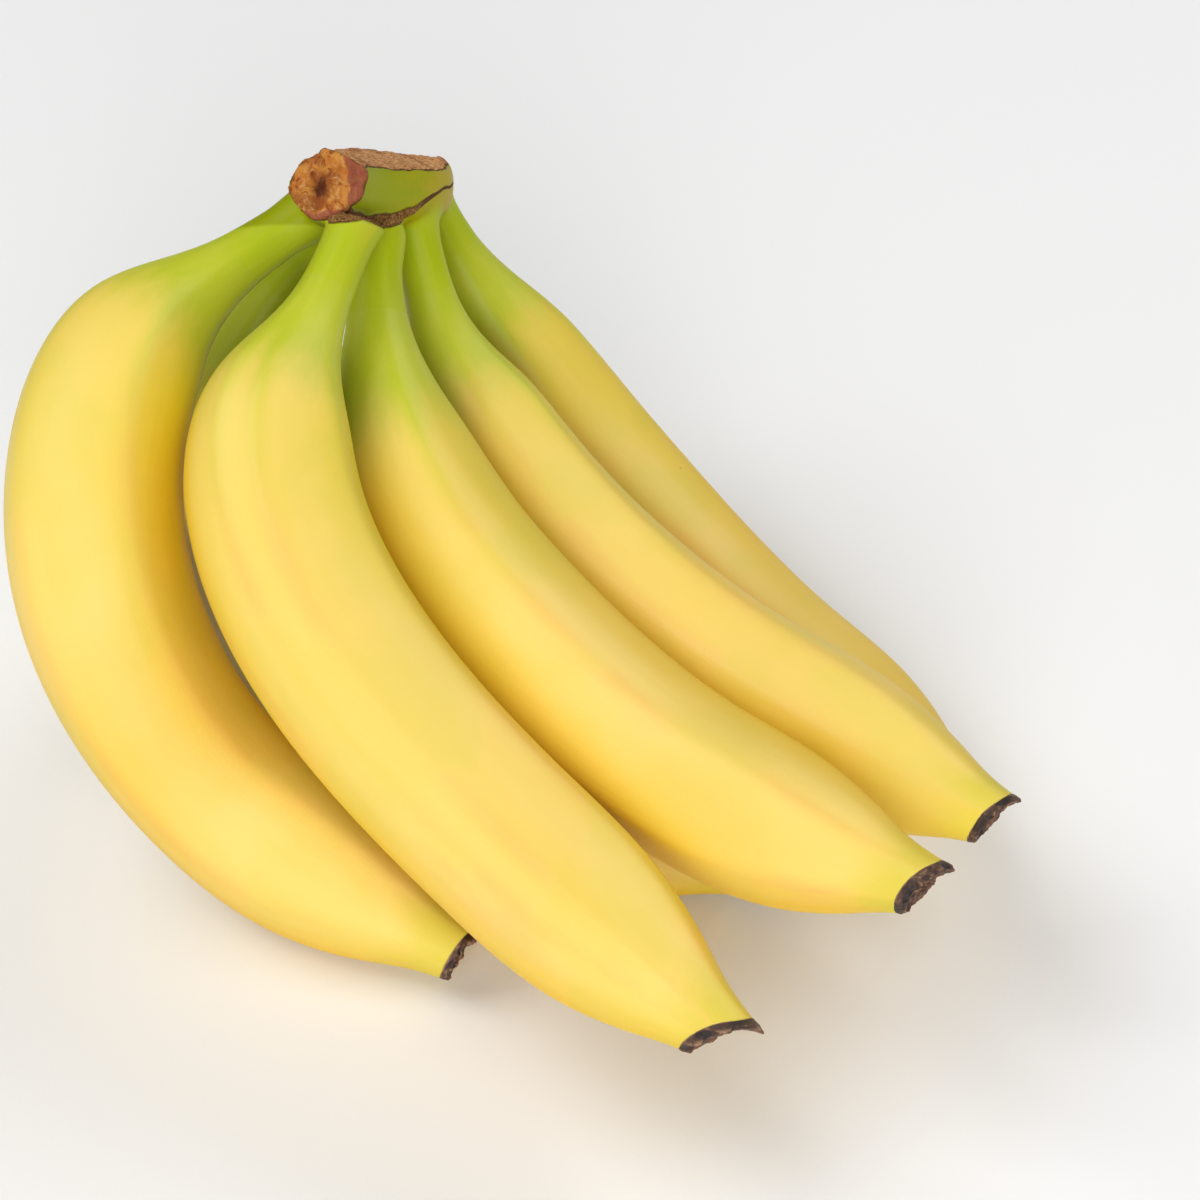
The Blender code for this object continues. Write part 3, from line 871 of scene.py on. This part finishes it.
# how far above the scar's middle line it is, and the scar's half width there (mm)
scar_height, scar_half = scar_line(step)
scar_off = (up - scar_height + 0.5 * MM * grown(points + 3, 3 * MM)) / MM
scar_side = smooth_step(6 * MM, 4 * MM, side_gap) * smooth_step(-2, 0, right / MM)
scar_half = (scar_half / MM + 0.6) * scar_side - 0.6
scar_on = smooth_step(1.3, 0.7, np.abs(scar_off) / np.maximum(scar_half, 0.01)) * (1 - end_cut)
rind = (1 - on_neck) + on_neck * smooth_step(0, 1.0 * MM, up - scar_height)

# the pit, and fibres that run outwards from it on the end cut and lengthwise on the top cut
pit_right = right - PIT_RIGHT
pit_up = up - PIT_UP
pit_turn = np.arctan2(pit_up, pit_right) + 0.35 * grown(points, 2.5 * MM)
pit_away = np.hypot(pit_right, PIT_TALL * pit_up) / MM + 1.2 * grown(points + 5, 1.6 * MM)
pit = np.exp(-(np.maximum(pit_away, 0) / PIT_WIDE) ** 2)
spread = np.stack((FIBRE_SPREAD * np.cos(pit_turn), FIBRE_SPREAD * np.sin(pit_turn), 0.26 * pit_away), 1)
lengthwise = np.stack((right, up, step * 1.4 * MM * 0.22), 1) / MM
spread = lengthwise + (spread - lengthwise) * end_cut[:, None]
# the slanting side and the lowest part of the end cut dried purple
facet = smooth_step(-0.8, 0.8, (right - BEVEL_AT) / MM + 0.9 * uneven)
facet = np.maximum(facet, 0.75 * smooth_step(-3.2, -5.6, up / MM + uneven)) * end_cut

# painted shade on the necks where neighbours stand close, stronger on the inner finger's neck
sunny = sunlit(outward)
close = np.zeros(len(points))
for k in range(len(FINGERS)):
    mine = closest == k
    close[mine] = shelter(points[mine], k + 1)
    if k + 1 == INNER_FINGER:
        green = INNER_SHADE * smooth_step(*INNER_SHADE_LIT, sunny[mine])
        close[mine] = np.maximum(close[mine], green)
close = close * smooth_step(0.02, 0.05, share) * on_neck
write_attribute(crown, "along", share * (1 - rind))
write_attribute(crown, "rind", np.clip(rind, 0, 1))
write_attribute(crown, "grain", grain)
write_attribute(crown, "ridge", ridge * on_neck)
write_attribute(crown, "close", close)
write_attribute(crown, "gap_shade", np.zeros(len(points)))
write_attribute(crown, "sunny", sunny)
write_attribute(crown, "end_depth", end_depth)
write_attribute(crown, "top_depth", top_depth)
write_attribute(crown, "scar_off", scar_off)
write_attribute(crown, "scar_half", scar_half)
write_attribute(crown, "spread", spread)
write_attribute(crown, "pit", pit * end_cut)
write_attribute(crown, "facet", facet)
write_attribute(crown, "far_along", step / PAD_STEPS)

# dried fibres on the cuts, a pit at the end cut's heart, a swollen scar (mm)
rough_end = 0.40 * grown(points, 3.0 * MM) + 0.20 * grown(points + 1, 0.9 * MM)
rough_end = rough_end + 0.42 * grown(spread, 0.45) - 1.7 * pit
rough_top = 0.30 * grown(points, 3.2 * MM) + 0.30 * grown(spread, 0.9)
rough_top = rough_top + 0.14 * grown(points + 2, 0.7 * MM)
broad_scar = smooth_step(0.4, 1.1, scar_half)
rough_scar = 0.55 * broad_scar + broad_scar * 0.42 * grown(points + 4, 1.2 * MM)
push = end_cut * rough_end + top_cut * rough_top + scar_on * rough_scar
points += outward * (push * MM)[:, None]
skin.vertices.foreach_set("co", points.ravel())
skin.update()
skin.shade_smooth()

WOOD_GOLD = (0.58, 0.26, 0.050)
WOOD_ORANGE = (0.46, 0.15, 0.026)
WOOD_RED = (0.25, 0.060, 0.016)
WOOD_TAN = (0.72, 0.42, 0.17)
WOOD_PURPLE = (0.27, 0.060, 0.050)
WOOD_DARK = (0.070, 0.016, 0.008)
STRIP_BROWN = (0.52, 0.21, 0.070)
STRIP_TAN = (0.78, 0.43, 0.18)
SCAR_DARK = (0.13, 0.055, 0.018)
SCAR_GOLD = (0.40, 0.21, 0.060)
RIND_GREEN = (0.28, 0.32, 0.002)
RIND_GOLD = (0.42, 0.33, 0.003)
CUT_ROUGHNESS = 0.78
CROWN_SPECULAR = 0.12       # the crown is duller than the peel


def number_mixed(tree, factor, a, b):
    return add_node(tree, "ShaderNodeMix", dict(data_type="FLOAT"), i0=factor, i2=a, i3=b).outputs[0]


def crown_pattern(tree):
    """The crown's colour, roughness and height: necks, rind, scar and the two cuts."""
    peel = peel_pattern(tree)
    position = add_node(tree, "ShaderNodeTexCoord").outputs["Object"]
    wide = noised(tree, position, 150, 3.0, 0.6, 0.6)
    coarse = noised(tree, position, 300, 4.0, 0.6)
    fine = noised(tree, position, 1300, 4.0, 0.7)
    grit = noised(tree, position, 2300, 2.0, 0.6)
    fibres = noised(tree, attribute(tree, "spread", vector=True), 3.4, 4.0, 0.65)
    pit = attribute(tree, "pit")

    def frayed(depth, spread):
        """A depth made uneven by the noise, so that the edge of its area is frayed."""
        return maths(tree, "ADD", depth, wavering(tree, coarse, spread))

    end_depth = frayed(attribute(tree, "end_depth"), 0.5)
    top_depth = frayed(attribute(tree, "top_depth"), 0.5)
    cut_depth = maths(tree, "MAXIMUM", end_depth, top_depth)
    cut_mask = ranged(tree, cut_depth, -0.06, 0.06)
    off = maths(tree, "ABSOLUTE", attribute(tree, "scar_off"))
    scar_depth = frayed(maths(tree, "SUBTRACT", attribute(tree, "scar_half"), off), 0.35)
    scar_mask = ranged(tree, scar_depth, -0.05, 0.07)
    # the end cut: golden wood with red and tan fibres, a purple side and a dark pit
    wood = mixed(tree, ranged(tree, coarse, 0.34, 0.66), WOOD_ORANGE, WOOD_GOLD)
    wood = mixed(tree, times(tree, ranged(tree, wide, 0.50, 0.62), 0.65), wood, WOOD_RED)
    wood = mixed(tree, ranged(tree, fibres, 0.46, 0.34), wood, WOOD_RED)
    wood = mixed(tree, times(tree, ranged(tree, fibres, 0.52, 0.70), 0.65), wood, WOOD_TAN)
    facet = ranged(tree, frayed(attribute(tree, "facet"), 0.7), 0.30, 0.62)
    wood = mixed(tree, times(tree, facet, 0.72), wood, WOOD_PURPLE)
    wood = mixed(tree, times(tree, ranged(tree, pit, 0.1, 0.7), 0.5), wood, WOOD_RED)
    wood = mixed(tree, times(tree, ranged(tree, frayed(pit, 1.3), 0.45, 0.95), 0.75), wood, WOOD_DARK)
    # the cut along the top: paler, with lengthwise fibres
    strip = mixed(tree, ranged(tree, fibres, 0.36, 0.60), STRIP_BROWN, STRIP_TAN)
    strip = mixed(tree, ranged(tree, fine, 0.44, 0.34), strip, WOOD_RED)
    strip = mixed(tree, times(tree, ranged(tree, wide, 0.48, 0.62), 0.5), strip, WOOD_RED)
    wood = mixed(tree, ranged(tree, end_depth, -0.25, 0.35), strip, wood)
    # the scar's gritty crust, and the green rind, which turns golden towards the far end
    crust = mixed(tree, ranged(tree, grit, 0.36, 0.66), SCAR_DARK, SCAR_GOLD)
    crust = mixed(tree, ranged(tree, attribute(tree, "scar_half"), 0.8, 0.5), crust, SCAR_DARK)
    golden = maths(tree, "SUBTRACT", attribute(tree, "far_along"), 0.4)
    golden = maths(tree, "MULTIPLY_ADD", coarse, 0.8, golden)
    rind_colour = mixed(tree, ranged(tree, golden, 0.25, 0.85), RIND_GREEN, RIND_GOLD)
    colour = mixed(tree, attribute(tree, "rind"), peel["colour"], rind_colour)
    # scar and cuts, each bordered by a thin purple-brown line
    layers = (scar_depth, scar_mask, crust, 0.5), (cut_depth, cut_mask, wood, 0.85)
    for depth, mask, dried, strength in layers:
        colour = mixed(tree, mask, colour, dried)
        border = times(tree, ranged(tree, depth, -0.26, -0.10), ranged(tree, depth, 0.26, 0.06))
        colour = mixed(tree, times(tree, border, strength), colour, WOOD_DARK)
    dry = maths(tree, "MAXIMUM", cut_mask, scar_mask)
    rough = number_mixed(tree, dry, peel["rough"], CUT_ROUGHNESS)
    cut_height = maths(tree, "ADD", times(tree, fibres, 6.0), times(tree, fine, 4.0))
    plain = number_mixed(tree, attribute(tree, "rind"), peel["height"], times(tree, coarse, 0.8))
    return dict(colour=colour, rough=rough, height=number_mixed(tree, dry, plain, cut_height))


crown_material, tree, shader = new_material("crown_and_necks")
finish_with(tree, shader, **crown_pattern(tree), relief=PEEL_RELIEF)
peel_sheen(shader)
shader.inputs["Specular IOR Level"].default_value = CROWN_SPECULAR
skin.materials.clear()
skin.materials.append(crown_material)
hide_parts("crown")
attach(crown, "root")

# --- Floor, light and camera ---------------------------------------------------
# A plain pale studio floor, a little uneven in tone like paper, under three broad soft
# lamps, seen from above its front edge.
FLOOR_HALF = 6.0
FLOOR_GREYS = ((0.88, 0.88, 0.88), (0.90, 0.90, 0.90))
STUDIO_LIGHT = 0.06         # light from all around
LAMPS = (       # name, place, size, power
    ("front", (0.00, -1.50, 0.80), 1.1, 22.0),
    ("left_high", (-0.90, 0.00, 1.40), 1.1, 15.5),
    ("right_back", (1.00, 0.80, 1.10), 1.1, 12.5),
)
LAMP_AIM = (0, 0, 0.05)
CAMERA_PLACE = (0, -510.54, 511.31)     # among the path points (mm)
CAMERA_TILT = 48            # degrees up from straight down
CAMERA_LENS = 100
CAMERA_SENSOR = 36

floor_mesh = bpy.data.meshes.new("floor")
floor_mesh.from_pydata([(-FLOOR_HALF, -FLOOR_HALF, 0), (FLOOR_HALF, -FLOOR_HALF, 0),
                        (FLOOR_HALF, FLOOR_HALF, 0), (-FLOOR_HALF, FLOOR_HALF, 0)],
                       [], [(0, 1, 2, 3)])
floor = bpy.data.objects.new("floor", floor_mesh)
bpy.context.scene.collection.objects.link(floor)
floor_material, tree, shader = new_material("pale_floor")
position = add_node(tree, "ShaderNodeTexCoord").outputs["Object"]
paper = mixed(tree, noised(tree, position, 3, 2.0), *FLOOR_GREYS)
tree.links.new(paper, shader.inputs["Base Color"])
shader.inputs["Roughness"].default_value = 0.9
floor_mesh.materials.append(floor_material)

world = bpy.data.worlds.new("studio")
world.use_nodes = True
background = world.node_tree.nodes["Background"]
background.inputs["Color"].default_value = (1.0, 1.0, 1.0, 1.0)
background.inputs["Strength"].default_value = STUDIO_LIGHT
bpy.context.scene.world = world
bpy.context.scene.view_settings.view_transform = "Standard"

for name, place, size, power in LAMPS:
    lamp = bpy.data.lights.new(name, "AREA")
    lamp.shape = "SQUARE"
    lamp.size = size
    lamp.energy = power
    lamp_object = bpy.data.objects.new(name, lamp)
    lamp_object.location = place
    aim = Vector(LAMP_AIM) - Vector(place)
    lamp_object.rotation_euler = aim.to_track_quat("-Z", "Y").to_euler()
    bpy.context.scene.collection.objects.link(lamp_object)

camera_data = bpy.data.cameras.new("camera")
camera_data.lens = CAMERA_LENS
camera_data.sensor_width = CAMERA_SENSOR
camera = bpy.data.objects.new("camera", camera_data)
camera.location = (np.array(CAMERA_PLACE) - MIDDLE) * MM
camera.rotation_euler = (math.radians(CAMERA_TILT), 0, 0)
bpy.context.scene.collection.objects.link(camera)
bpy.context.scene.camera = camera
